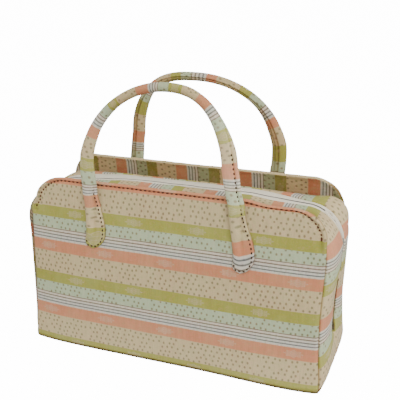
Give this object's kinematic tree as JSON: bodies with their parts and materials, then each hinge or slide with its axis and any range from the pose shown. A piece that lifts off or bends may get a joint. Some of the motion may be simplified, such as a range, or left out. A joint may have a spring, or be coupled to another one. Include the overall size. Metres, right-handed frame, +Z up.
{
  "type": "kimono handbag",
  "caption": "Boxy handbag of stiff padded striped cloth with a zipped top gusset, stitched upstanding lips and round padded carrying loops.",
  "frame": {"origin": "middle of the footprint, on the ground", "axes": "+X along the bag towards the end with the zip's slider, +Y towards the back, +Z up"},
  "size_m": [0.305, 0.115, 0.2685],
  "materials": {
    "cloth_cream": "matt woven cloth",
    "cloth_orange": "matt woven cloth",
    "zip_white": "matt woven tape",
    "slider_white": "satin enamel"
  },
  "bodies": {
    "root": {"base": "cloth_cream", "front_panel": "cloth_cream", "back_panel": "cloth_cream", "front_gusset": "cloth_cream", "back_gusset": "cloth_cream", "front_binding": "cloth_orange", "back_binding": "cloth_orange", "front_zip_tape": "zip_white", "back_zip_tape": "zip_white", "front_handle": "cloth_cream", "back_handle": "cloth_cream", "zip_slider": "slider_white", "zip_pull": "slider_white"}
  },
  "joints": []
}
